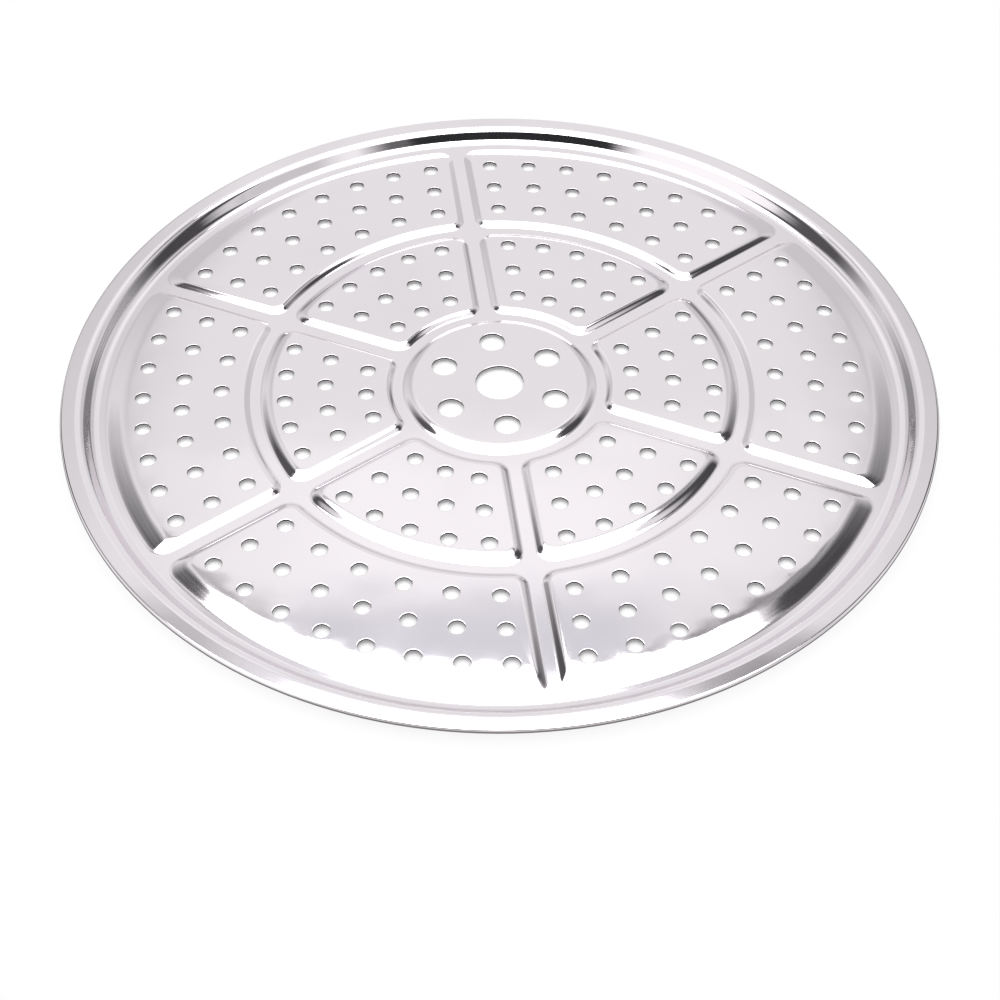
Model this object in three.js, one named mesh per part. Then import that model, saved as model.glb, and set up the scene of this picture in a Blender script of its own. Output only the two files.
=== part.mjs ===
// A pressed stainless-steel steamer plate, 24 cm across, in millimetres with +Z up.
// One sheet is drawn into a shallow dish: thirteen perforated panels stand above sunken
// channels, and a sloping wall carries a flat rim whose edge is rolled under.
// The origin is the centre of the underside of the channels, and +X runs along a spoke.

import * as THREE from 'three';
import { mergeGeometries, mergeVertices } from 'three/addons/utils/BufferGeometryUtils.js';

// Sheet
const PLATE_DIAMETER = 240;
const SHEET = 0.5;
const SECTORS = 6;

// Rim with its rolled edge, wall and gutter
const RIM_WIDTH = 5.5;
const RIM_RISE = 3.7;
const WALL_RUN = 3;
const WALL_BEND = 2.2;
const HEM_HEIGHT = 1.5;
const HEM_RETURN = 1.6;
const GUTTER_FLOOR = 2.5;

// Height of the pressed panels, and the corners of their feet and their flat tops
const EMBOSS = 1.1;
const FOOT_CORNER = 4.5;
const TOP_CORNER = 2.5;

// Spoke channels
const SPOKE_FLOOR = 3;
const SPOKE_SLOPE = 2.7;

// Centre disc and the ring channel round it
const DISC_TOP_RADIUS = 23.4;
const DISC_SLOPE = 3.8;
const INNER_RING_FLOOR = 2.3;

// Inner panels and the ring channel outside them
const INNER_TOP_WIDTH = 30.4;
const INNER_SLOPE_IN = 2.3;
const INNER_SLOPE_OUT = 4.1;
const MID_RING_FLOOR = 2.4;

// Outer panels, which fill what is left up to the gutter
const OUTER_SLOPE_IN = 2.6;
const OUTER_SLOPE_OUT = 6.8;

// Steam holes in rows along each panel, and the land that they leave at its edges
const HOLE_DIAMETER = 4.4;
const ROW_PITCH = 11;
const INNER_HOLE_PITCH = 10.1;
const INNER_SIDE_LAND = 3.6;
const INNER_FIRST_LAND = 3;
const INNER_LAST_LAND = 0.6;
const OUTER_HOLE_PITCH = 12.15;
const OUTER_SIDE_LAND = 2.9;
const OUTER_FIRST_LAND = 3.3;
const OUTER_LAST_LAND = 0.7;

// Holes of the centre disc: a lifting hole with a ring of smaller ones
const LIFT_HOLE_DIAMETER = 13.5;
const DISC_HOLE_DIAMETER = 7.2;
const DISC_HOLE_LAND = 3.1;

// Facet counts
const PLATE_SIDES = 48;
const BEND_STEPS = 2;
const HEM_STEPS = 4;
const CORNER_STEPS = 3;
const EDGE_STEPS = 5;
const HOLE_SIDES = 8;
const DISC_HOLE_SIDES = 12;
const LIFT_HOLE_SIDES = 20;
const DISC_SIDES = 36;

// Polished stainless steel
const STEEL = { color: 0xd8d5d6, roughness: 0.2, metalness: 1, flatShading: true };

// Radii and turns that follow from the sizes above
const plateRadius = PLATE_DIAMETER / 2;
const wallTopRadius = plateRadius - RIM_WIDTH;
const wallFootRadius = wallTopRadius - WALL_RUN;
const wallAngle = Math.atan2(RIM_RISE, WALL_RUN);
const bendTangent = WALL_BEND * Math.tan(wallAngle / 2);
const floorRadius = wallFootRadius - bendTangent;
const discFoot = DISC_TOP_RADIUS + DISC_SLOPE;
const innerFootIn = discFoot + INNER_RING_FLOOR;
const innerTopIn = innerFootIn + INNER_SLOPE_IN;
const innerTopOut = innerTopIn + INNER_TOP_WIDTH;
const innerFootOut = innerTopOut + INNER_SLOPE_OUT;
const outerFootIn = innerFootOut + MID_RING_FLOOR;
const outerTopIn = outerFootIn + OUTER_SLOPE_IN;
const outerFootOut = floorRadius - GUTTER_FLOOR;
const outerTopOut = outerFootOut - OUTER_SLOPE_OUT;
const sectorAngle = 2 * Math.PI / SECTORS;
const QUARTER = Math.PI / 2;

// Points along an arc, both ends included, turning the way from `start` to `end`
function arc(x, y, radius, start, end, steps) {
  return new THREE.ArcCurve(x, y, radius, start, end, end < start).getPoints(steps);
}

// A round outline whose centre lies at a radius and an angle from the plate's centre
function circle(diameter, sides, radius = 0, angle = 0) {
  const outline = arc(radius, 0, diameter / 2, 0, 2 * Math.PI, sides).slice(0, -1);
  return turned(outline, angle);
}

// A copy of an outline, turned about the plate's centre
function turned(outline, angle) {
  const centre = new THREE.Vector2();
  return outline.map((point) => point.clone().rotateAround(centre, angle));
}

// A flat face at a height, facing up, bounded by an outline and pierced by holes
function flatFace(outline, holes, height) {
  const corners = [outline, ...holes].flat();
  const geometry = new THREE.BufferGeometry();
  geometry.setAttribute('position', new THREE.Float32BufferAttribute(
    corners.flatMap(({ x, y }) => [x, y, height]), 3));
  geometry.setIndex(THREE.ShapeUtils.triangulateShape(outline, holes).flat());
  return geometry;
}

// A band of faces between two outlines with equally many points. It faces away from the axis
// where the second outline lies above the first.
function band(first, firstHeight, second, secondHeight) {
  const count = first.length;
  const index = [];
  for (let i = 0; i < count; i += 1) {
    const next = (i + 1) % count;
    index.push(i, next, count + next, i, count + next, count + i);
  }
  const geometry = new THREE.BufferGeometry();
  geometry.setAttribute('position', new THREE.Float32BufferAttribute([
    ...first.flatMap(({ x, y }) => [x, y, firstHeight]),
    ...second.flatMap(({ x, y }) => [x, y, secondHeight]),
  ], 3));
  geometry.setIndex(index);
  return geometry;
}

// Turns the faces of a geometry to the other side
function flipped(geometry) {
  const turnedOver = geometry.clone();
  turnedOver.setIndex(Array.from(geometry.getIndex().array).reverse());
  return turnedOver;
}

// The outline of one panel: two arcs about the plate's centre and two sides that run along
// the neighbouring spokes, with round corners
function panelOutline(innerRadius, outerRadius, halfChannel, corner) {
  const outerCentre = outerRadius - corner;
  const innerCentre = innerRadius + corner;
  const outerTurn = Math.asin((halfChannel + corner) / outerCentre);
  const innerTurn = Math.asin((halfChannel + corner) / innerCentre);
  const cornerArc = (distance, turn, start, end) => arc(
    distance * Math.cos(turn), distance * Math.sin(turn), corner, start, end, CORNER_STEPS);
  const edgeArc = (radius, start, end) => arc(0, 0, radius, start, end, EDGE_STEPS).slice(1, -1);
  return [
    ...cornerArc(outerCentre, outerTurn, -QUARTER, outerTurn),
    ...edgeArc(outerRadius, outerTurn, sectorAngle - outerTurn),
    ...cornerArc(outerCentre, sectorAngle - outerTurn,
      sectorAngle - outerTurn, sectorAngle + QUARTER),
    ...cornerArc(innerCentre, sectorAngle - innerTurn,
      sectorAngle + QUARTER, sectorAngle - innerTurn + Math.PI),
    ...edgeArc(innerRadius, sectorAngle - innerTurn, innerTurn),
    ...cornerArc(innerCentre, innerTurn, innerTurn + Math.PI, 3 * QUARTER),
  ];
}

// The steam holes of one panel: rows between the two edges of its flat top, and in each row
// as many holes as the arc between its two sides takes
function holeRows(topIn, topOut, { holePitch, sideLand, firstLand, lastLand }) {
  const firstRow = topIn + firstLand + HOLE_DIAMETER / 2;
  const lastRow = topOut - lastLand - HOLE_DIAMETER / 2;
  const rowGaps = Math.max(1, Math.round((lastRow - firstRow) / ROW_PITCH));
  const rowEnd = SPOKE_FLOOR / 2 + SPOKE_SLOPE + sideLand + HOLE_DIAMETER / 2;
  const holes = [];
  for (let row = 0; row <= rowGaps; row += 1) {
    const radius = firstRow + row * (lastRow - firstRow) / rowGaps;
    const start = rowEnd / radius;
    const spread = sectorAngle - 2 * start;
    const holeGaps = Math.max(1, Math.round(spread * radius / holePitch));
    for (let hole = 0; hole <= holeGaps; hole += 1) {
      holes.push(circle(HOLE_DIAMETER, HOLE_SIDES, radius, start + hole * spread / holeGaps));
    }
  }
  return holes;
}

// The foot, flat top and holes of the panel that starts at the +X spoke
function ringPanel(footIn, slopeIn, footOut, slopeOut, rows) {
  const topIn = footIn + slopeIn;
  const topOut = footOut - slopeOut;
  return {
    foot: panelOutline(footIn, footOut, SPOKE_FLOOR / 2, FOOT_CORNER),
    top: panelOutline(topIn, topOut, SPOKE_FLOOR / 2 + SPOKE_SLOPE, TOP_CORNER),
    holes: holeRows(topIn, topOut, rows),
  };
}

// The centre disc with its holes, which stand in line with the spokes
function centreDisc() {
  const ringRadius = DISC_TOP_RADIUS - DISC_HOLE_LAND - DISC_HOLE_DIAMETER / 2;
  const holes = [circle(LIFT_HOLE_DIAMETER, LIFT_HOLE_SIDES)];
  for (let sector = 0; sector < SECTORS; sector += 1) {
    holes.push(circle(DISC_HOLE_DIAMETER, DISC_HOLE_SIDES, ringRadius, sector * sectorAngle));
  }
  return {
    foot: circle(2 * discFoot, DISC_SIDES),
    top: circle(2 * DISC_TOP_RADIUS, DISC_SIDES),
    holes,
  };
}

// All pressed panels of the plate
function allPanels() {
  const inner = ringPanel(innerFootIn, INNER_SLOPE_IN, innerFootOut, INNER_SLOPE_OUT, {
    holePitch: INNER_HOLE_PITCH,
    sideLand: INNER_SIDE_LAND,
    firstLand: INNER_FIRST_LAND,
    lastLand: INNER_LAST_LAND,
  });
  const outer = ringPanel(outerFootIn, OUTER_SLOPE_IN, outerFootOut, OUTER_SLOPE_OUT, {
    holePitch: OUTER_HOLE_PITCH,
    sideLand: OUTER_SIDE_LAND,
    firstLand: OUTER_FIRST_LAND,
    lastLand: OUTER_LAST_LAND,
  });
  const panels = [centreDisc()];
  for (let sector = 0; sector < SECTORS; sector += 1) {
    const angle = sector * sectorAngle;
    [inner, outer].forEach(({ foot, top, holes }) => panels.push({
      foot: turned(foot, angle),
      top: turned(top, angle),
      holes: holes.map((hole) => turned(hole, angle)),
    }));
  }
  return panels;
}

// The pressed floor as one skin, facing up, with the channels at height 0
function floorSkin(panels) {
  const faces = panels.flatMap(({ foot, top, holes }) => [
    band(foot, 0, top, EMBOSS),
    flatFace(top, holes, EMBOSS),
  ]);
  const channels = flatFace(
    circle(2 * floorRadius, PLATE_SIDES), panels.map(({ foot }) => foot), 0);
  return mergeGeometries([...faces, channels]);
}

// The inner edges of all holes
function holeEdges(panels) {
  return panels.flatMap(({ holes }) => holes).map(
    (hole) => flipped(band(hole, EMBOSS, hole, EMBOSS + SHEET)));
}

// One side of the wall, rim and rolled edge in section, `offset` away from the middle of the
// sheet, from the edge of the floor to the end of the leg that is turned under the rim
function rimSection(offset) {
  const floorHeight = SHEET / 2;
  const rimHeight = floorHeight + RIM_RISE;
  const hemBend = (HEM_HEIGHT - SHEET) / 2;
  const hemCentre = plateRadius - HEM_HEIGHT / 2;
  return [
    ...arc(floorRadius, floorHeight + WALL_BEND, WALL_BEND - offset,
      -QUARTER, wallAngle - QUARTER, BEND_STEPS),
    ...arc(wallTopRadius + bendTangent, rimHeight - WALL_BEND, WALL_BEND + offset,
      wallAngle + QUARTER, QUARTER, BEND_STEPS),
    ...arc(hemCentre, rimHeight - hemBend, hemBend + offset, QUARTER, -QUARTER, HEM_STEPS),
    new THREE.Vector2(hemCentre - HEM_RETURN, rimHeight - 2 * hemBend - offset),
  ];
}

// The wall, rim and rolled edge, from the underside of the floor round to its upper side
function rimSkin() {
  const section = [...rimSection(-SHEET / 2), ...rimSection(SHEET / 2).reverse()];
  return section.slice(1).map((point, i) => band(
    circle(2 * section[i].x, PLATE_SIDES), section[i].y,
    circle(2 * point.x, PLATE_SIDES), point.y));
}

// The whole sheet, closed by welding the points that its faces share
function makeSheet() {
  const panels = allPanels();
  const underside = floorSkin(panels);
  const upperSide = underside.clone().translate(0, 0, SHEET);
  const faces = [upperSide, flipped(underside), ...holeEdges(panels), ...rimSkin()];
  return mergeVertices(mergeGeometries(faces));
}

const sheet = makeSheet();
sheet.computeVertexNormals();

const steamerPlate = new THREE.Mesh(sheet, new THREE.MeshStandardMaterial(STEEL));
steamerPlate.name = 'steamer_plate';

const part = new THREE.Group();
part.add(steamerPlate);

export default part;
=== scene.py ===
import math

import bmesh
import bpy
from bpy.props import FloatProperty, FloatVectorProperty, IntProperty, PointerProperty
from bpy.types import Operator, Panel, PropertyGroup
from mathutils import Matrix, Vector


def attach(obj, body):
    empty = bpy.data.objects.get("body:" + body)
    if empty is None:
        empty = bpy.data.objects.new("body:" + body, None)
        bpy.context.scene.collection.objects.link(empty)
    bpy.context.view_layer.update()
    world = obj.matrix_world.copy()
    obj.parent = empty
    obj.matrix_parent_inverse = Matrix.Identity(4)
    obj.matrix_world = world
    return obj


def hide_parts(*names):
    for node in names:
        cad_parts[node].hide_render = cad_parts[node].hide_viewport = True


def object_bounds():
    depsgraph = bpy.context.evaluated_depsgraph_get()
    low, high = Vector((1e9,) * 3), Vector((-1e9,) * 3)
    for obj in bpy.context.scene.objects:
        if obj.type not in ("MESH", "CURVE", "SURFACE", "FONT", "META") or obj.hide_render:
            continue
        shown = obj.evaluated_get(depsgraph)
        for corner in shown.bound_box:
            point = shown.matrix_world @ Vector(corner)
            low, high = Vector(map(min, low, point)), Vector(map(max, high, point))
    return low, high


bl_info = {
    "name": "Steamer Plate",
    "version": (1, 0, 0),
    "blender": (4, 5, 0),
    "location": "View3D > Sidebar > Steamer Plate",
    "description": "Builds a pressed and perforated steel steamer plate on a white studio table",
    "category": "Add Mesh",
}

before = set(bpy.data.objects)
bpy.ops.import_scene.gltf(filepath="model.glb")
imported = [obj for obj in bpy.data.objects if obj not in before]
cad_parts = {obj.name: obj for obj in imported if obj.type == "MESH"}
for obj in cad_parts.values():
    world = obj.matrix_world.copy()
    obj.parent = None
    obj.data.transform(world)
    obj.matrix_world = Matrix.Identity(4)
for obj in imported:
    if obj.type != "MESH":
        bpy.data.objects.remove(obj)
CAD_LOW, CAD_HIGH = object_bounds()

MM = 0.001
UP = Vector((0, 0, 1))
AXIS = Vector((0, 0, 0))

# Tests and steps of the mesh work
SAME_PLACE = 0.001 * MM
LONG_FLAT_EDGE = 1.2 * MM
FLAT_CUTS = 2
PERFORATED_RADIUS = 105 * MM
HOLE_EDGE_ANGLE = math.radians(80)
HOLE_EDGE_DEPTH = 0.3 * MM
HOLE_WALL_TILT = 0.05
HOLE_EDGE_SEGMENTS = 2
SMOOTH_ANGLE = math.radians(50)


def length(name, description, millimetres):
    """A length property, with its default given in millimetres."""
    return FloatProperty(
        name=name,
        description=description,
        default=millimetres * MM,
        min=0.0,
        precision=5,
        subtype="DISTANCE",
        unit="LENGTH",
    )


def factor(name, description, value):
    """A share between nothing and one."""
    return FloatProperty(
        name=name, description=description, default=value, min=0.0, max=1.0, subtype="FACTOR"
    )


def brightness(name, description, value):
    """A brightness, where one is white."""
    return FloatProperty(name=name, description=description, default=value, min=0.0)


def wattage(name, description, watts):
    """The power of a lamp."""
    return FloatProperty(
        name=name, description=description, default=watts, min=0.0, subtype="POWER", unit="POWER"
    )


def count(name, description, value):
    """A whole number property."""
    return IntProperty(name=name, description=description, default=value, min=1)


def colour(name, description, value):
    """A linear colour property."""
    return FloatVectorProperty(
        name=name, description=description, default=value, size=3, min=0.0, max=1.0, subtype="COLOR"
    )


class PressedSheetSizes(PropertyGroup):
    """The pressing: panels, channels, wall and rim."""

    diameter: length("Diameter", "Outer diameter of the plate", 2 * CAD_HIGH.x / MM)
    height: length("Height", "From the underside of the channels to the top of the rim", CAD_HIGH.z / MM)
    sheet: length("Sheet", "Thickness of the steel", 0.5)
    sectors: count("Sectors", "Number of spokes", 6)
    emboss: length("Emboss", "Rise of the panels over the channels", 1.1)
    spoke_floor: length("Spoke floor", "Flat width of a spoke channel", 3.0)
    spoke_slope: length("Spoke slope", "Width of the slope at each side of a spoke", 2.7)
    foot_corner: length("Foot corner", "Corner radius at the foot of a panel", 4.5)
    top_corner: length("Top corner", "Corner radius at the top of a panel", 2.5)
    disc_top: length("Disc top", "Radius of the flat of the centre disc", 23.4)
    disc_slope: length("Disc slope", "Width of the slope round the centre disc", 3.8)
    inner_ring_floor: length("Inner ring", "Flat width of the channel round the disc", 2.3)
    inner_slope_in: length("Inner slope, near", "Slope of the inner panels on the disc's side", 2.3)
    inner_top: length("Inner panels", "Radial width of the flat of the inner panels", 30.4)
    inner_slope_out: length("Inner slope, far", "Slope of the inner panels on the rim's side", 4.1)
    mid_ring_floor: length("Mid ring", "Flat width of the channel between the panels", 2.4)
    outer_slope_in: length("Outer slope, near", "Slope of the outer panels on the disc's side", 2.6)
    outer_slope_out: length("Outer slope, far", "Slope of the outer panels on the rim's side", 6.5)
    crown: length("Crown", "How far the outer panels droop before their slope", 0.075)
    crown_run: length("Crown run", "Width over which the outer panels droop", 7.0)
    slope_top: factor("Slope top", "Share of a slope's width that its upper bend takes", 0.55)
    slope_foot: factor("Slope foot", "Share of a slope's width that its lower bend takes", 0.2)
    far_top: factor("Far slope top", "Share of the upper bend in the broad slope beside the gutter", 0.36)
    far_foot: factor("Far slope foot", "Share of the lower bend in the broad slope beside the gutter", 0.12)
    gutter_floor: length("Gutter", "Flat width of the gutter inside the wall", 1.57)
    wall_run: length("Wall run", "Horizontal width of the wall", 3.0)
    wall_bend: length("Wall bend", "Bend radius at the foot and the top of the wall", 3.2)
    rim_width: length("Rim", "Width of the rim from the wall to the outer edge", 5.5)
    hem_height: length("Hem height", "Height of the rolled edge", 1.5)
    hem_return: length("Hem return", "Width of the leg that is turned under", 1.6)
    panel_guard: length("Flat guard", "Flat margin beside each slope or bend", 0.2)


class HoleSizes(PropertyGroup):
    """The punched holes."""

    diameter: length("Steam hole", "Diameter of a steam hole", 4.4)
    row_pitch: length("Row pitch", "Aimed distance between rows of holes", 11.0)
    inner_pitch: length("Inner pitch", "Aimed distance between holes of an inner panel", 10.1)
    inner_side: length("Inner side land", "From an inner panel's side to its holes", 3.6)
    inner_first: length("Inner first land", "From an inner panel's near edge to its holes", 3.0)
    inner_last: length("Inner last land", "From an inner panel's far edge to its holes", 0.6)
    outer_pitch: length("Outer pitch", "Aimed distance between holes of an outer panel", 12.15)
    outer_side: length("Outer side land", "From an outer panel's side to its holes", 2.9)
    outer_first: length("Outer first land", "From an outer panel's near edge to its holes", 3.3)
    outer_last: length("Outer last land", "From an outer panel's far edge to its holes", 1.45)
    lift_diameter: length("Lifting hole", "Diameter of the hole in the middle", 13.5)
    disc_diameter: length("Disc holes", "Diameter of the holes round the middle", 7.2)
    disc_land: length("Disc land", "From the disc's edge to its holes", 3.1)
    stiff_land: length("Stiff land", "Width round a hole that stays flat where the panel droops", 3.5)
    edge_round: length("Hole edge", "Rounding of the punched edges", 0.1)
    edge_guard: length("Hole guard", "Flat margin round each hole", 0.2)


class SheetSteps(PropertyGroup):
    """How finely the curves of the sheet are divided."""

    turn: count("Turn", "Steps of the rim round the plate", 192)
    far_arc: count("Far arc", "Steps along the outer edge of a panel", 30)
    near_arc: count("Near arc", "Steps along the inner edge of a panel", 20)
    corner: count("Corner", "Steps round a panel's corner", 6)
    slope: count("Slope", "Cuts across a slope", 13)
    disc: count("Disc", "Steps round the centre disc", 96)
    hole: count("Hole", "Steps round a steam hole", 16)
    large_hole: count("Large hole", "Steps round a hole of the disc", 28)
    bend: count("Bend", "Steps along a bend of the wall", 8)
    hem: count("Hem", "Steps round the rolled edge", 14)


class SteelFinish(PropertyGroup):
    """The stainless sheet."""

    bright: colour("Bright steel", "Colour of the clean sheet", (0.768, 0.73, 0.76))
    dull: colour("Handled steel", "Colour where the sheet was handled", (0.738, 0.7, 0.73))
    # Near black: the dull sheared steel of the hole walls, darkened further as painted shade inside the
    # holes
    cut: colour("Sheared steel", "Colour of the walls that the punch cut", (0.02, 0.019, 0.02))
    cut_roughness: factor("Shear", "Roughness of the walls that the punch cut", 0.45)
    polish: factor("Polish", "Roughness of the bright sheet", 0.06)
    haze: factor("Haze", "Roughness where the sheet was handled", 0.09)
    grain: factor("Grain", "Depth of the rolled grain", 0.05)
    draw_lines: factor("Draw lines", "Depth of the lines that the press left on the slopes", 0.12)
    waviness: factor("Waviness", "Depth of the slow waves in the sheet", 0.1)


class StudioSettings(PropertyGroup):
    """The camera, the table and the light."""

    camera_place: FloatVectorProperty(
        name="Camera", description="Place of the camera", size=3, precision=4,
        default=(0.1442, -0.3427, 0.3551), subtype="TRANSLATION", unit="LENGTH",
    )
    camera_tilt: FloatProperty(
        name="Tilt", description="Tilt of the camera up from straight down",
        default=math.radians(42.8), subtype="ANGLE", unit="ROTATION",
    )
    camera_turn: FloatProperty(
        name="Turn", description="Turn of the camera and the studio about the plate",
        default=math.radians(22.8), subtype="ANGLE", unit="ROTATION",
    )
    lens: FloatProperty(
        name="Lens", description="Focal length on a sensor 36 mm wide",
        default=66.5, min=1.0, subtype="DISTANCE_CAMERA", unit="CAMERA",
    )
    table: colour("Table", "Colour of the table", (0.9, 0.9, 0.9))
    near_glow: factor("Near glow", "Share of plain white in the table under the plate", 0.2)
    far_glow: factor("Far glow", "Share of plain white in the table away from the plate", 0.92)
    ambient: brightness("Ambient", "Light of the white surroundings", 0.15)
    overhead: wattage("Overhead", "Power of the softbox above", 10.5)
    left: wattage("Left", "Power of the softbox at the left", 0.3)
    right: wattage("Right", "Power of the softbox at the right", 0.15)
    # This dark colour serves the cards beside the plate and the painted shadow ring round it
    flag: colour("Flag", "Colour of the cards beside the plate", (0.03, 0.03, 0.033))
    ceiling: colour("Ceiling", "Colour of the ceiling near the softbox", (0.80, 0.81, 0.85))
    ceiling_glow: brightness("Ceiling glow", "Brightness of the ceiling near the backdrop", 1.2)


# Drawing and sweeping in a bmesh

def start_pen(bm, place):
    """The first point of an outline."""
    return bmesh.ops.create_vert(bm, co=place)["vert"][0]


def draw_line(bm, pen, place):
    """Extrudes the pen's point to a place in a straight line."""
    tip = bmesh.ops.extrude_vert_indiv(bm, verts=[pen])["verts"][0]
    tip.co = place
    return tip


def draw_arc(bm, pen, centre, angle, steps, axis=UP):
    """Sweeps the pen's point about a centre."""
    swept = bmesh.ops.spin(bm, geom=[pen], cent=centre, axis=axis, angle=angle, steps=steps)
    return swept["geom_last"][0]


def polar(radius, angle, height=0.0):
    """A point by its radius and angle about the plate's axis."""
    return Vector((radius * math.cos(angle), radius * math.sin(angle), height))


def turned_round(bm, geometry, centre, steps):
    """Sweeps geometry all the way round an upright axis."""
    bmesh.ops.spin(
        bm, geom=geometry, cent=centre, axis=UP, angle=2 * math.pi, steps=steps, use_merge=True
    )


def repeated_round(bm, copies):
    """Repeats all of a bmesh evenly about the plate's axis."""
    bmesh.ops.spin(
        bm,
        geom=bm.verts[:] + bm.edges[:] + bm.faces[:],
        cent=AXIS,
        axis=UP,
        angle=2 * math.pi * (copies - 1) / copies,
        steps=copies - 1,
        use_duplicate=True,
    )


def panel_outline(bm, sizes, steps, near, far, half_channel, corner, height):
    """Draws one closed panel outline about the +X axis and gives its edges."""
    before = set(bm.edges)
    half_sector = math.pi / sizes.sectors
    reach = half_channel + corner
    near_turn = half_sector - math.asin(reach / (near + corner))
    far_turn = half_sector - math.asin(reach / (far - corner))
    corner_sweep = math.pi / 2 + half_sector
    corners = {
        "far": polar(far - corner, far_turn, height),
        "near": polar(near + corner, near_turn, height),
    }
    across = polar(1.0, half_sector + math.pi / 2)
    middle = Vector((0, 0, height))

    pen = first = start_pen(bm, polar(far, -far_turn, height))
    pen = draw_arc(bm, pen, middle, 2 * far_turn, steps.far_arc)
    pen = draw_arc(bm, pen, corners["far"], corner_sweep - far_turn, steps.corner)
    pen = draw_line(bm, pen, corners["near"] + across * corner)
    pen = draw_arc(bm, pen, corners["near"], math.pi - corner_sweep + near_turn, steps.corner)
    pen = draw_arc(bm, pen, middle, -2 * near_turn, steps.near_arc)
    mirrored = Vector((1, -1, 1))
    pen = draw_arc(
        bm, pen, corners["near"] * mirrored, math.pi - corner_sweep + near_turn, steps.corner
    )
    pen = draw_line(bm, pen, corners["far"] * mirrored + across * mirrored * corner)
    pen = draw_arc(bm, pen, corners["far"] * mirrored, corner_sweep - far_turn, steps.corner)
    bmesh.ops.pointmerge(bm, verts=[first, pen], merge_co=first.co)
    return [edge for edge in bm.edges if edge not in before]


def circle_outline(bm, radius, steps, height):
    """Draws one circle about the plate's axis and gives its edges."""
    before = set(bm.edges)
    bmesh.ops.create_circle(
        bm, segments=steps, radius=radius, matrix=Matrix.Translation((0, 0, height))
    )
    return [edge for edge in bm.edges if edge not in before]


def slope_between(bm, upper, lower, cuts):
    """Bridges two outlines with a band of faces and cuts it into rows."""
    band = bmesh.ops.bridge_loops(bm, edges=upper + lower)
    across = [edge for edge in band["edges"] if edge.verts[0].co.z != edge.verts[1].co.z]
    bmesh.ops.subdivide_edges(bm, edges=across, cuts=cuts, use_grid_fill=True)


def hole_margin(bm, centre, radius, guard, steps):
    """Sweeps the flat margin round one hole and gives its outer edge."""
    before = set(bm.edges)
    pen = start_pen(bm, centre + Vector((radius, 0, 0)))
    tip = draw_line(bm, pen, centre + Vector((radius + guard, 0, 0)))
    turned_round(bm, [pen, tip, pen.link_edges[0]], centre, steps)
    made = [edge for edge in bm.edges if edge not in before]
    middle = radius + guard / 2
    return [edge for edge in made if min((v.co - centre).length for v in edge.verts) > middle]


def fill_between(bm, edges):
    """Fills the flat between an outer outline and the outlines inside it."""
    bmesh.ops.triangle_fill(bm, use_beauty=True, use_dissolve=False, edges=edges, normal=UP)


def lies_level(edge, height):
    """Whether both ends of an edge lie at a height."""
    return all(abs(vert.co.z - height) < SAME_PLACE for vert in edge.verts)


def divide_flat(bm, height, outside):
    """Divides the long edges of a panel's flat outside a radius, so that it can droop between its holes."""
    edges = []
    for edge in bm.edges:
        if edge.calc_length() < LONG_FLAT_EDGE or any(len(face.verts) > 3 for face in edge.link_faces):
            continue
        if lies_level(edge, height) and all(vert.co.xy.length > outside for vert in edge.verts):
            edges.append(edge)
    bmesh.ops.subdivide_edges(bm, edges=edges, cuts=FLAT_CUTS)
    bmesh.ops.triangulate(bm, faces=[face for face in bm.faces if len(face.verts) > 4])


def clamped(value, top=1.0):
    """A value held between nothing and a top."""
    return min(top, max(0.0, value))


def slope_fall(share, top, foot):
    """How far a slope has fallen at a share of its width, with a bend at its top and at its foot."""
    steepness = 1.0 / (1.0 - (top + foot) / 2)
    if share < top:
        return steepness * share * share / (2 * top)
    if share > 1.0 - foot:
        return 1.0 - steepness * (1.0 - share) ** 2 / (2 * foot)
    return steepness * (share - top / 2)


def no_droop(place):
    """A panel that stays flat up to its slopes."""
    return 0.0


def droop_between_holes(place, sizes, holes, places, far):
    """How far an outer panel sinks before its far slope, most in the middle between its holes."""
    run = (place.xy.length - far + sizes.crown_run) / sizes.crown_run
    before = clamped(run)
    beyond = clamped(run - 1.0, 0.5)
    land = min((place.xy - hole.xy).length for hole in places) - holes.diameter / 2
    free = clamped(land / holes.stiff_land)
    fall = before * before + 2 * beyond * (1 - beyond)
    return sizes.crown * fall * free * free * (3 - 2 * free)


def press_slopes(bm, sizes, droop, broad_from):
    """Bends the straight slopes into smooth ones, and lets the panel droop as its place says."""
    low = sizes.sheet
    rise = sizes.emboss
    for vert in bm.verts:
        broad = clamped((vert.co.xy.length - broad_from) / sizes.top_corner)
        top = sizes.slope_top + (sizes.far_top - sizes.slope_top) * broad
        foot = sizes.slope_foot + (sizes.far_foot - sizes.slope_foot) * broad
        share = 1.0 - clamped((vert.co.z - low) / rise)
        vert.co.z = low + (rise - droop(vert.co)) * (1.0 - slope_fall(share, top, foot))


# The parts of the pressed sheet

def radii(sizes):
    """The radii of the ring panels, of the gutter's edge and of the top of the wall."""
    wall_top = sizes.diameter / 2 - sizes.rim_width
    tangent = sizes.wall_bend * math.tan(wall_angle(sizes) / 2)
    gutter = wall_top - sizes.wall_run - tangent
    disc_foot = sizes.disc_top + sizes.disc_slope
    inner_foot_in = disc_foot + sizes.inner_ring_floor
    inner_top_in = inner_foot_in + sizes.inner_slope_in
    inner_top_out = inner_top_in + sizes.inner_top
    inner_foot_out = inner_top_out + sizes.inner_slope_out
    outer_foot_in = inner_foot_out + sizes.mid_ring_floor
    outer_foot_out = gutter - sizes.gutter_floor
    return {
        "inner": (inner_foot_in, inner_top_in, inner_top_out, inner_foot_out),
        "outer": (
            outer_foot_in,
            outer_foot_in + sizes.outer_slope_in,
            outer_foot_out - sizes.outer_slope_out,
            outer_foot_out,
        ),
        "gutter": gutter,
        "wall_top": wall_top,
    }


def wall_angle(sizes):
    """The steepness of the wall between the gutter and the rim."""
    return math.atan2(sizes.height - sizes.sheet, sizes.wall_run)


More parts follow.
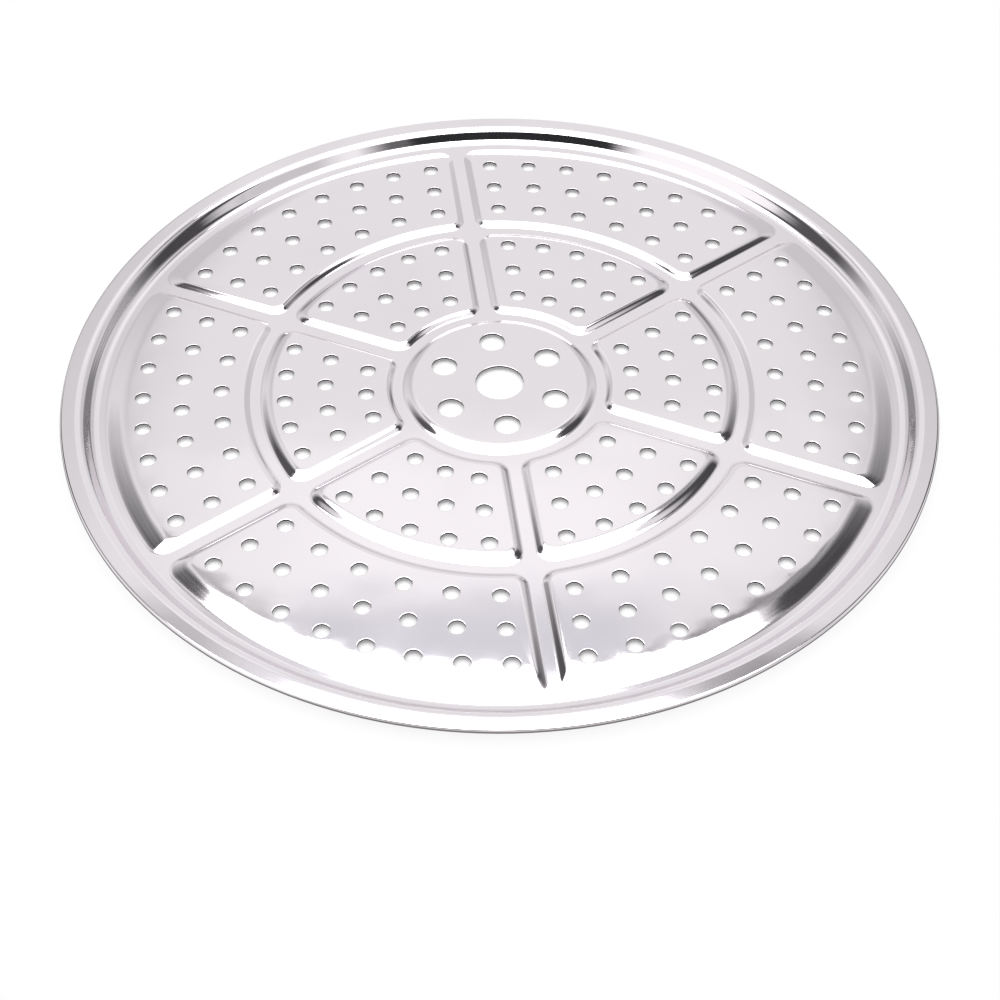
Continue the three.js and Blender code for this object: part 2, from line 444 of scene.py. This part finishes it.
def hole_places(sizes, holes, near, far, pitch, side, first_land, last_land):
    """The hole centres of one panel, about the +X axis."""
    first = near + first_land + holes.diameter / 2
    last = far - last_land - holes.diameter / 2
    row_gaps = max(1, round((last - first) / holes.row_pitch))
    row_end = sizes.spoke_floor / 2 + sizes.spoke_slope + side + holes.diameter / 2
    half_sector = math.pi / sizes.sectors
    height = sizes.sheet + sizes.emboss
    places = []
    for row in range(row_gaps + 1):
        radius = first + row * (last - first) / row_gaps
        start = half_sector - row_end / radius
        hole_gaps = max(1, round(2 * start * radius / pitch))
        for hole in range(hole_gaps + 1):
            places.append(polar(radius, start - 2 * start * hole / hole_gaps, height))
    return places


def add_ring_panels(bm, sizes, steps, holes, edges, places, droop, broad_from):
    """Adds one raised panel with its holes, and its copies round the plate."""
    foot_in, top_in, top_out, foot_out = edges
    low = sizes.sheet
    high = sizes.sheet + sizes.emboss
    guard = sizes.panel_guard
    half_floor = sizes.spoke_floor / 2
    half_top = half_floor + sizes.spoke_slope
    part = bmesh.new()
    flat = panel_outline(
        part, sizes, steps, top_in + guard, top_out - guard,
        half_top + guard, sizes.top_corner - guard, high,
    )
    top = panel_outline(part, sizes, steps, top_in, top_out, half_top, sizes.top_corner, high)
    foot = panel_outline(part, sizes, steps, foot_in, foot_out, half_floor, sizes.foot_corner, low)
    floor = panel_outline(
        part, sizes, steps, foot_in - guard, foot_out + guard,
        half_floor - guard, sizes.foot_corner + guard, low,
    )
    bmesh.ops.bridge_loops(part, edges=flat + top)
    bmesh.ops.bridge_loops(part, edges=foot + floor)
    slope_between(part, top, foot, steps.slope)
    for place in places:
        flat += hole_margin(part, place, holes.diameter / 2, holes.edge_guard, steps.hole)
    fill_between(part, flat)
    divide_flat(part, high, broad_from - sizes.crown_run)
    press_slopes(part, sizes, droop, broad_from)
    bmesh.ops.rotate(
        part, verts=part.verts[:], cent=AXIS, matrix=Matrix.Rotation(math.pi / sizes.sectors, 3, "Z")
    )
    repeated_round(part, sizes.sectors)
    join_into(bm, part)


def add_disc(bm, sizes, steps, holes):
    """Adds the raised disc in the middle, with its large holes."""
    low = sizes.sheet
    high = sizes.sheet + sizes.emboss
    part = bmesh.new()
    flat = circle_outline(part, sizes.disc_top - sizes.panel_guard, steps.disc, high)
    top = circle_outline(part, sizes.disc_top, steps.disc, high)
    disc_foot = sizes.disc_top + sizes.disc_slope
    foot = circle_outline(part, disc_foot, steps.disc, low)
    floor = circle_outline(part, disc_foot + sizes.panel_guard, steps.disc, low)
    bmesh.ops.bridge_loops(part, edges=flat + top)
    bmesh.ops.bridge_loops(part, edges=foot + floor)
    slope_between(part, top, foot, steps.slope)
    ring = sizes.disc_top - holes.disc_land - holes.disc_diameter / 2
    places = [(Vector((0, 0, high)), holes.lift_diameter / 2)]
    for spoke in range(sizes.sectors):
        places.append((polar(ring, 2 * math.pi * spoke / sizes.sectors, high), holes.disc_diameter / 2))
    for place, radius in places:
        flat += hole_margin(part, place, radius, holes.edge_guard, steps.large_hole)
    fill_between(part, flat)
    press_slopes(part, sizes, no_droop, sizes.diameter)
    join_into(bm, part)


def add_rim(bm, sizes, steps, around):
    """Sweeps the wall, the rim and its rolled edge round the plate."""
    angle = wall_angle(sizes)
    tangent = sizes.wall_bend * math.tan(angle / 2)
    across = Vector((0, -1, 0))
    low = sizes.sheet
    hem = sizes.hem_height / 2
    guard = Vector((sizes.panel_guard, 0, 0))
    part = bmesh.new()
    floor_edge = Vector((around["gutter"], 0, low))
    pen = start_pen(part, floor_edge - guard)
    pen = draw_line(part, pen, floor_edge)
    foot_centre = Vector((around["gutter"], 0, low + sizes.wall_bend))
    pen = draw_arc(part, pen, foot_centre, angle, steps.bend, across)
    top_centre = Vector((around["wall_top"] + tangent, 0, sizes.height - sizes.wall_bend))
    straight_end = top_centre + Vector((-math.sin(angle), 0, math.cos(angle))) * sizes.wall_bend
    pen = draw_line(part, pen, straight_end)
    pen = draw_arc(part, pen, top_centre, -angle, steps.bend, across)
    pen = draw_line(part, pen, pen.co + guard)
    rim_edge = Vector((sizes.diameter / 2 - hem, 0, sizes.height))
    pen = draw_line(part, pen, rim_edge - guard)
    pen = draw_line(part, pen, rim_edge)
    hem_centre = Vector((sizes.diameter / 2 - hem, 0, sizes.height - hem))
    pen = draw_arc(part, pen, hem_centre, -math.pi, steps.hem, across)
    draw_line(part, pen, pen.co - Vector((sizes.hem_return, 0, 0)))
    turned_round(part, part.verts[:] + part.edges[:], AXIS, steps.turn)
    join_into(bm, part)


def add_floor(bm, low):
    """Fills the sunken channels between the panels and the wall."""
    fill_between(bm, [edge for edge in bm.edges if edge.is_boundary and lies_level(edge, low)])


def join_into(bm, part):
    """Adds one bmesh to another."""
    mesh = bpy.data.meshes.new("part")
    part.to_mesh(mesh)
    part.free()
    bm.from_mesh(mesh)
    bpy.data.meshes.remove(mesh)


def thicken(bm, sheet):
    """Gives the upper skin the thickness of the sheet, downwards."""
    bmesh.ops.remove_doubles(bm, verts=bm.verts[:], dist=SAME_PLACE)
    bmesh.ops.recalc_face_normals(bm, faces=bm.faces[:])
    if max(bm.faces, key=lambda face: face.calc_area()).normal.z < 0:
        bmesh.ops.reverse_faces(bm, faces=bm.faces[:])
    bmesh.ops.solidify(bm, geom=bm.faces[:], thickness=sheet)


def round_hole_edges(bm, amount, panel_top):
    """Rounds the upper edges of the punched holes."""
    lowest = panel_top - HOLE_EDGE_DEPTH
    edges = []
    for edge in bm.edges:
        if len(edge.link_faces) != 2 or edge.calc_face_angle(0.0) < HOLE_EDGE_ANGLE:
            continue
        if all(vert.co.z > lowest and vert.co.xy.length < PERFORATED_RADIUS for vert in edge.verts):
            edges.append(edge)
    if not edges:
        raise RuntimeError("No hole edge was found in the sheet")
    bmesh.ops.bevel(
        bm,
        geom=edges,
        offset=amount,
        offset_type="OFFSET",
        segments=HOLE_EDGE_SEGMENTS,
        profile=0.5,
        affect="EDGES",
        material=-1,
        clamp_overlap=True,
    )


def mark_sheared_and_shaded_walls(bm):
    """Marks the walls of the holes, which the punch left dull and which carry painted shade, for the
    steel's material.
    """
    sheared_and_shaded = bm.faces.layers.float.new("sheared_and_shaded")
    for face in bm.faces:
        inside = face.calc_center_median().xy.length < PERFORATED_RADIUS
        if inside and abs(face.normal.z) < HOLE_WALL_TILT:
            face[sheared_and_shaded] = 1.0


class STEAMER_OT_plate(Operator):
    """Presses the perforated plate from one sheet"""

    bl_idname = "steamer.plate"
    bl_label = "Pressed Plate"

    def execute(self, context):
        scene = context.scene
        sizes, holes, steps = scene.plate_sizes, scene.plate_holes, scene.plate_steps
        around = radii(sizes)
        bm = bmesh.new()
        add_disc(bm, sizes, steps, holes)
        _, near, far, _ = around["inner"]
        places = hole_places(
            sizes, holes, near, far,
            holes.inner_pitch, holes.inner_side, holes.inner_first, holes.inner_last,
        )
        add_ring_panels(bm, sizes, steps, holes, around["inner"], places, no_droop, sizes.diameter)
        _, near, far, _ = around["outer"]
        places = hole_places(
            sizes, holes, near, far,
            holes.outer_pitch, holes.outer_side, holes.outer_first, holes.outer_last,
        )
        add_ring_panels(
            bm, sizes, steps, holes, around["outer"], places,
            lambda place: droop_between_holes(place, sizes, holes, places, far),
            far - sizes.top_corner,
        )
        add_rim(bm, sizes, steps, around)
        add_floor(bm, sizes.sheet)
        thicken(bm, sizes.sheet)
        round_hole_edges(bm, holes.edge_round, sizes.sheet + sizes.emboss)
        mark_sheared_and_shaded_walls(bm)
        for edge in bm.edges:
            edge.smooth = edge.calc_face_angle(0.0) < SMOOTH_ANGLE
        for face in bm.faces:
            face.smooth = True
        mesh = bpy.data.meshes.new("pressed_plate")
        bm.to_mesh(mesh)
        bm.free()
        plate = bpy.data.objects.new("pressed_plate", mesh)
        context.collection.objects.link(plate)
        mesh.materials.append(stainless_steel(scene.plate_finish))
        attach(plate, "root")
        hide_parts("steamer_plate")
        return {"FINISHED"}


# Materials

# Patterns in the steel: stretch along x, y and z, size and detail
HANDLING = ((1.0, 1.0, 1.0), 22.0, 3.0)
SLOW_WAVES = ((1.0, 1.0, 1.0), 45.0, 1.0)
PRESS_LINES = ((30.0, 30.0, 3500.0), 1.0, 1.0)
ROLLED_GRAIN = ((120.0, 4000.0, 120.0), 1.0, 2.0)
HANDLED_FROM = 0.45
HANDLED_TO = 0.75
WAVE_DEPTH = 1.0 * MM
LINE_DEPTH = 0.1 * MM
GRAIN_DEPTH = 0.02 * MM

# Radii of the table's tones, as shares of the plate's radius
SHADOW_START = 0.9
SHADOW_END = 0.996
OPEN_START = 1.0
OPEN_END = 2.6

WHITE = (1.0, 1.0, 1.0)


def add_node(tree, kind, place, **values):
    """Adds a node and sets its properties."""
    node = tree.nodes.new(kind)
    node.location = place
    for name, value in values.items():
        setattr(node, name, value)
    return node


def fresh_material(name):
    """An empty node material with its output."""
    material = bpy.data.materials.new(name)
    material.use_nodes = True
    tree = material.node_tree
    tree.nodes.clear()
    output = add_node(tree, "ShaderNodeOutputMaterial", (900, 0))
    return material, tree, output


def smooth_range(tree, place, value, start, end, low=0.0, high=1.0):
    """Turns a value between two bounds smoothly into one between two others."""
    node = add_node(tree, "ShaderNodeMapRange", place, interpolation_type="SMOOTHSTEP")
    node.inputs["From Min"].default_value = start
    node.inputs["From Max"].default_value = end
    node.inputs["To Min"].default_value = low
    node.inputs["To Max"].default_value = high
    tree.links.new(value, node.inputs["Value"])
    return node.outputs["Result"]


def stainless_steel(finish):
    """Bright rolled sheet with slow waves, press lines on its slopes, a little haze from handling, and
    near-black hole walls that carry painted shade.
    """
    material, tree, output = fresh_material("stainless_steel")
    link = tree.links.new
    coords = add_node(tree, "ShaderNodeTexCoord", (-1400, 0))

    def noise(place, pattern):
        stretch, size, detail = pattern
        mapping = add_node(tree, "ShaderNodeMapping", (place[0] - 220, place[1]))
        mapping.inputs["Scale"].default_value = stretch
        link(coords.outputs["Object"], mapping.inputs["Vector"])
        texture = add_node(tree, "ShaderNodeTexNoise", place)
        texture.inputs["Scale"].default_value = size
        texture.inputs["Detail"].default_value = detail
        link(mapping.outputs["Vector"], texture.inputs["Vector"])
        return texture.outputs["Fac"]

    def relief(place, pattern, share, depth):
        bump = add_node(tree, "ShaderNodeBump", place)
        bump.inputs["Strength"].default_value = share
        bump.inputs["Distance"].default_value = depth
        link(noise((-800, place[1]), pattern), bump.inputs["Height"])
        return bump

    handled = smooth_range(tree, (-500, 300), noise((-800, 300), HANDLING), HANDLED_FROM, HANDLED_TO)
    tint = add_node(tree, "ShaderNodeMix", (-200, 300), data_type="RGBA")
    tint.inputs["A"].default_value = (*finish.bright, 1.0)
    tint.inputs["B"].default_value = (*finish.dull, 1.0)
    link(handled, tint.inputs["Factor"])
    rough = add_node(tree, "ShaderNodeMapRange", (-200, 60))
    rough.inputs["To Min"].default_value = finish.polish
    rough.inputs["To Max"].default_value = finish.haze
    link(handled, rough.inputs["Value"])

    waves = relief((-200, -150), SLOW_WAVES, finish.waviness, WAVE_DEPTH)
    lines = relief((50, -400), PRESS_LINES, finish.draw_lines, LINE_DEPTH)
    link(waves.outputs["Normal"], lines.inputs["Normal"])
    grain = relief((300, -650), ROLLED_GRAIN, finish.grain, GRAIN_DEPTH)
    link(lines.outputs["Normal"], grain.inputs["Normal"])

    # The hole walls take the near-black colour: dull sheared steel with painted shade on top
    sheared_and_shaded = add_node(tree, "ShaderNodeAttribute", (0, 500), attribute_name="sheared_and_shaded")
    cut_and_shade_tint = add_node(tree, "ShaderNodeMix", (250, 300), data_type="RGBA")
    cut_and_shade_tint.inputs["B"].default_value = (*finish.cut, 1.0)
    link(sheared_and_shaded.outputs["Fac"], cut_and_shade_tint.inputs["Factor"])
    link(tint.outputs["Result"], cut_and_shade_tint.inputs["A"])
    cut_rough = add_node(tree, "ShaderNodeMix", (250, 60), data_type="FLOAT")
    cut_rough.inputs["B"].default_value = finish.cut_roughness
    link(sheared_and_shaded.outputs["Fac"], cut_rough.inputs["Factor"])
    link(rough.outputs["Result"], cut_rough.inputs["A"])

    steel = add_node(tree, "ShaderNodeBsdfPrincipled", (600, 0))
    steel.inputs["Metallic"].default_value = 1.0
    link(cut_and_shade_tint.outputs["Result"], steel.inputs["Base Color"])
    link(cut_rough.outputs["Result"], steel.inputs["Roughness"])
    link(grain.outputs["Normal"], steel.inputs["Normal"])
    link(steel.outputs["BSDF"], output.inputs["Surface"])
    return material


def seen_directly(tree, place):
    """A value that is one for camera, glossy and transmission rays."""
    path = add_node(tree, "ShaderNodeLightPath", place)
    first = add_node(tree, "ShaderNodeMath", (place[0] + 200, place[1]), operation="MAXIMUM")
    second = add_node(tree, "ShaderNodeMath", (place[0] + 400, place[1]), operation="MAXIMUM")
    tree.links.new(path.outputs["Is Camera Ray"], first.inputs[0])
    tree.links.new(path.outputs["Is Glossy Ray"], first.inputs[1])
    tree.links.new(first.outputs["Value"], second.inputs[0])
    tree.links.new(path.outputs["Is Transmission Ray"], second.inputs[1])
    return second.outputs["Value"]


def table_material(studio):
    """White table that keeps the plate's shadow and is clear from below."""
    material, tree, output = fresh_material("white_table")
    link = tree.links.new
    matt = add_node(tree, "ShaderNodeBsdfDiffuse", (0, 100))
    matt.inputs["Color"].default_value = (*studio.table, 1.0)
    glow = add_node(tree, "ShaderNodeEmission", (0, -50))
    coords = add_node(tree, "ShaderNodeTexCoord", (-700, 450))
    away = add_node(tree, "ShaderNodeVectorMath", (-500, 450), operation="LENGTH")
    link(coords.outputs["Object"], away.inputs[0])
    radius = away.outputs["Value"]
    edge = CAD_HIGH.x
    shaded = smooth_range(
        tree, (-300, 450), radius, edge * SHADOW_START, edge * SHADOW_END,
        studio.near_glow, studio.far_glow,
    )
    open_white = smooth_range(tree, (-300, 750), radius, edge * OPEN_START, edge * OPEN_END)
    whiter = add_node(tree, "ShaderNodeMath", (-100, 600), operation="MAXIMUM")
    link(shaded, whiter.inputs[0])
    link(open_white, whiter.inputs[1])
    share = add_node(tree, "ShaderNodeMath", (0, 250), operation="MULTIPLY")
    link(whiter.outputs["Value"], share.inputs[1])
    link(seen_directly(tree, (-700, 250)), share.inputs[0])
    white = add_node(tree, "ShaderNodeMixShader", (250, 0))
    link(share.outputs["Value"], white.inputs["Fac"])
    link(matt.outputs["BSDF"], white.inputs[1])
    link(glow.outputs["Emission"], white.inputs[2])
    below = add_node(tree, "ShaderNodeNewGeometry", (250, 300))
    clear = add_node(tree, "ShaderNodeBsdfTransparent", (250, -200))
    side = add_node(tree, "ShaderNodeMixShader", (600, 0))
    link(below.outputs["Backfacing"], side.inputs["Fac"])
    link(white.outputs["Shader"], side.inputs[1])
    link(clear.outputs["BSDF"], side.inputs[2])
    link(side.outputs["Shader"], output.inputs["Surface"])
    return material


def card_material(name, tint, glow=1.0):
    """Plain card that fades out at its edges."""
    material, tree, output = fresh_material(name)
    link = tree.links.new
    cover = add_node(tree, "ShaderNodeAttribute", (0, 200), attribute_name="cover")
    clear = add_node(tree, "ShaderNodeBsdfTransparent", (0, 0))
    card = add_node(tree, "ShaderNodeEmission", (0, -100))
    card.inputs["Color"].default_value = (*tint, 1.0)
    card.inputs["Strength"].default_value = glow
    faded = add_node(tree, "ShaderNodeMixShader", (300, 0))
    link(cover.outputs["Fac"], faded.inputs["Fac"])
    link(clear.outputs["BSDF"], faded.inputs[1])
    link(card.outputs["Emission"], faded.inputs[2])
    link(faded.outputs["Shader"], output.inputs["Surface"])
    return material


# The studio

# Places in the studio are in metres, to the camera's right, away from it and up
TABLE_REACH = 3.0
TABLE_DROP = 0.05 * MM
OVERHEAD_PLACE = (-0.05, 0.031, 0.9)
OVERHEAD_SIZE = (1.04, 1.102)
LEFT_PLACE = (-0.66, -0.31, 0.755)
RIGHT_PLACE = (0.61, -0.40, 0.755)
SIDE_SIZE = (0.70, 0.50)

# The camera's sensor in millimetres, and the nearest distance that it shows in metres
SENSOR_WIDTH = 36.0
NEAREST = 0.01

# The dark ring round the plate, a painted shadow on the table that the rolled rim reflects, with its radii
# as shares of the plate's radius
SHADOW_RING_START = 0.985
SHADOW_RING_END = 1.6
SHADOW_RING_HEIGHT = 0.1 * MM
SHADOW_RING_COVER = 0.85
SHADOW_RING_STEPS = 96

# Shares of a card's sides over which it fades, and the number of cells that this takes
EVEN_FADES = (0.1, 0.1, 0.1, 0.1)
CARD_CELLS = 3

# Standing cards: name, start, end, low, high, cover, fades at start, end, low and high
UPRIGHT_CARDS = (
    ("left_flag", (-0.27, 0.02), (-0.27, 0.245), 0.04, 0.47, 0.92, (0.2, 0.5, 0.1, 0.12)),
    ("right_flag", (0.27, 0.02), (0.27, 0.31), 0.04, 0.53, 0.95, (0.15, 0.58, 0.1, 0.12)),
    ("left_low", (-0.27, 0.15), (-0.24, 0.85), -0.07, 0.14, 0.55, (0.1, 0.3, 0.35, 0.35)),
    ("right_low", (0.27, 0.15), (0.24, 0.85), -0.07, 0.14, 0.65, (0.1, 0.3, 0.35, 0.35)),
    ("camera_flag", (-0.94, -0.95), (0.94, -0.95), 0.6, 1.7, 1.0, (0.15, 0.15, 0.12, 0.2)),
    ("left_wing", (-0.28, 0.2), (-0.2, 0.8), -0.3, 0.58, 0.27, (0.3, 0.4, 0.1, 0.3)),
    ("right_wing", (0.28, 0.2), (0.2, 0.85), -0.3, 0.62, 0.27, (0.3, 0.4, 0.1, 0.3)),
    ("front_low", (-0.25, -0.24), (0.25, -0.24), 0.0, 0.035, 0.75, (0.2, 0.2, 0.05, 0.4)),
    ("side_wing", (0.85, -0.75), (1.05, -0.05), 0.2, 1.4, 0.4, (0.25, 0.25, 0.25, 0.25)),
)

# Lying cards: name, near corner, far corner, height, cover, fades at left, right, near and far
LEVEL_CARDS = (
    ("ceiling", (-0.305, 0.1), (0.215, 0.985), 1.25, 1.0, (0.2, 0.2, 0.1, 0.085)),
    ("ceiling_glow", (-0.5, 0.93), (0.45, 1.28), 1.26, 1.0, (0.35, 0.35, 0.2, 0.3)),
    ("right_gap", (0.1, 0.3), (0.5, 0.66), 0.92, 0.65, (0.3, 0.2, 0.2, 0.14)),
    ("left_gap", (-0.45, 0.35), (-0.2, 0.7), 0.92, 0.4, (0.2, 0.3, 0.2, 0.14)),
)


def stage_object(context, name, bm, material):
    """Turns a bmesh into an object of the stage."""
    mesh = bpy.data.meshes.new(name)
    bm.to_mesh(mesh)
    bm.free()
    mesh.materials.append(material)
    made = bpy.data.objects.new(name, mesh)
    context.collection.objects.link(made)
    return made


def card(context, name, corner, across, along, material, cover=1.0, fades=EVEN_FADES):
    """A flat rectangle from one corner and its two sides, which fades out towards its edges."""
    bm = bmesh.new()
    bmesh.ops.create_grid(bm, x_segments=CARD_CELLS, y_segments=CARD_CELLS, size=1.0)
    layer = bm.verts.layers.float.new("cover")
    columns = (0.0, fades[0], 1.0 - fades[1], 1.0)
    rows = (0.0, fades[2], 1.0 - fades[3], 1.0)
    inside = range(1, CARD_CELLS)
    for vert in bm.verts:
        column = round((vert.co.x + 1) * CARD_CELLS / 2)
        row = round((vert.co.y + 1) * CARD_CELLS / 2)
        vert[layer] = cover if column in inside and row in inside else 0.0
        vert.co = corner + across * columns[column] + along * rows[row]
    return stage_object(context, name, bm, material)


def reflected_shadow_ring(context, inner, outer, height, material, cover):
    """A flat ring round the plate that fades out towards its outer edge; in dark it paints the table's
    shadow next to the plate.
    """
    bm = bmesh.new()
    near = circle_outline(bm, inner, SHADOW_RING_STEPS, height)
    far = circle_outline(bm, outer, SHADOW_RING_STEPS, height)
    bmesh.ops.bridge_loops(bm, edges=near + far)
    layer = bm.verts.layers.float.new("cover")
    for vert in bm.verts:
        vert[layer] = cover if vert.co.xy.length < (inner + outer) / 2 else 0.0
    return stage_object(context, "reflected_shadow_ring", bm, material)


def softbox(context, name, shape, place, rotation, size, watts):
    """A softbox that is hidden from the camera."""
    light = bpy.data.lights.new(name, "AREA")
    light.shape = shape
    light.size = size[0]
    light.size_y = size[1]
    light.energy = watts
    lamp = bpy.data.objects.new(name, light)
    lamp.location = place
    lamp.rotation_euler = rotation
    lamp.visible_camera = False
    context.collection.objects.link(lamp)


def side_softbox(context, name, place, watts):
    """A softbox beside the camera that looks at the plate."""
    rotation = (AXIS - place).to_track_quat("-Z", "Y").to_euler()
    softbox(context, name, "RECTANGLE", place, rotation, SIDE_SIZE, watts)


def reflected_only(card_object):
    """Shows a card in reflections only."""
    card_object.visible_camera = False
    card_object.visible_diffuse = False
    card_object.visible_shadow = False


def white_surroundings(ambient):
    """A world that looks white and gives a little light."""
    world = bpy.data.worlds.new("white_surroundings")
    world.use_nodes = True
    tree = world.node_tree
    tree.nodes.clear()
    output = add_node(tree, "ShaderNodeOutputWorld", (600, 0))
    light = add_node(tree, "ShaderNodeBackground", (100, 100))
    light.inputs["Strength"].default_value = ambient
    white = add_node(tree, "ShaderNodeBackground", (100, -100))
    for background in (light, white):
        background.inputs["Color"].default_value = (*WHITE, 1.0)
    choice = add_node(tree, "ShaderNodeMixShader", (350, 0))
    tree.links.new(seen_directly(tree, (-500, 300)), choice.inputs["Fac"])
    tree.links.new(light.outputs["Background"], choice.inputs[1])
    tree.links.new(white.outputs["Background"], choice.inputs[2])
    tree.links.new(choice.outputs["Shader"], output.inputs["Surface"])
    return world


def add_camera(context, studio):
    """A camera with the lens, the place and the tilt of the studio's settings."""
    optics = bpy.data.cameras.new("camera")
    optics.lens = studio.lens
    optics.sensor_width = SENSOR_WIDTH
    optics.clip_start = NEAREST
    camera = bpy.data.objects.new("camera", optics)
    camera.location = studio.camera_place
    camera.rotation_euler = (studio.camera_tilt, 0.0, studio.camera_turn)
    context.collection.objects.link(camera)
    return camera


class STEAMER_OT_studio(Operator):
    """Sets up the table, the white surroundings, the softboxes and the camera"""

    bl_idname = "steamer.studio"
    bl_label = "White Studio"

    def execute(self, context):
        studio = context.scene.plate_studio
        turn = Matrix.Rotation(studio.camera_turn, 3, "Z")

        def aligned(x, y, z):
            return turn @ Vector((x, y, z))

        corner = Vector((-TABLE_REACH, -TABLE_REACH, -TABLE_DROP))
        across = Vector((2 * TABLE_REACH, 0, 0))
        along = Vector((0, 2 * TABLE_REACH, 0))
        card(context, "table", corner, across, along, table_material(studio))
        dark = card_material("dark_card", studio.flag)
        tinted = {
            "ceiling": card_material("grey_card", studio.ceiling),
            "ceiling_glow": card_material("bright_card", WHITE, studio.ceiling_glow),
        }
        for name, start, end, low, high, cover, fades in UPRIGHT_CARDS:
            corner = aligned(*start, low)
            across = aligned(*end, low) - corner
            along = UP * (high - low)
            reflected_only(card(context, name, corner, across, along, dark, cover, fades))
        for name, near, far, height, cover, fades in LEVEL_CARDS:
            corner = aligned(*near, height)
            across = aligned(far[0] - near[0], 0, 0)
            along = aligned(0, far[1] - near[1], 0)
            material = tinted.get(name, dark)
            reflected_only(card(context, name, corner, across, along, material, cover, fades))
        # The dark ring paints the table's shadow next to the plate, which the rim's rolled edge reflects
        inner = CAD_HIGH.x * SHADOW_RING_START
        outer = CAD_HIGH.x * SHADOW_RING_END
        reflected_only(reflected_shadow_ring(context, inner, outer, SHADOW_RING_HEIGHT, dark, SHADOW_RING_COVER))

        straight_down = (0.0, 0.0, studio.camera_turn)
        overhead = aligned(*OVERHEAD_PLACE)
        softbox(
            context, "overhead_softbox", "ELLIPSE", overhead, straight_down, OVERHEAD_SIZE, studio.overhead
        )
        side_softbox(context, "left_softbox", aligned(*LEFT_PLACE), studio.left)
        side_softbox(context, "right_softbox", aligned(*RIGHT_PLACE), studio.right)

        context.scene.world = white_surroundings(studio.ambient)
        context.scene.view_settings.view_transform = "Standard"
        context.scene.camera = add_camera(context, studio)
        return {"FINISHED"}


class STEAMER_PT_panel(Panel):
    """Lists the operators and the sizes of the steamer plate"""

    bl_idname = "STEAMER_PT_panel"
    bl_label = "Steamer Plate"
    bl_space_type = "VIEW_3D"
    bl_region_type = "UI"
    bl_category = "Steamer Plate"

    def draw(self, context):
        layout = self.layout
        layout.operator(STEAMER_OT_plate.bl_idname)
        layout.operator(STEAMER_OT_studio.bl_idname)
        for group in SETTINGS:
            box = layout.box()
            settings = getattr(context.scene, group)
            for name in settings.__annotations__:
                box.prop(settings, name)


SETTINGS = {
    "plate_sizes": PressedSheetSizes,
    "plate_holes": HoleSizes,
    "plate_steps": SheetSteps,
    "plate_finish": SteelFinish,
    "plate_studio": StudioSettings,
}
CLASSES = (*SETTINGS.values(), STEAMER_OT_plate, STEAMER_OT_studio, STEAMER_PT_panel)


def register():
    for entry in CLASSES:
        bpy.utils.register_class(entry)
    for name, group in SETTINGS.items():
        setattr(bpy.types.Scene, name, PointerProperty(type=group))


def unregister():
    for name in SETTINGS:
        delattr(bpy.types.Scene, name)
    for entry in reversed(CLASSES):
        bpy.utils.unregister_class(entry)


def main():
    register()
    bpy.ops.steamer.studio()
    bpy.ops.steamer.plate()


if __name__ == "__main__":
    main()
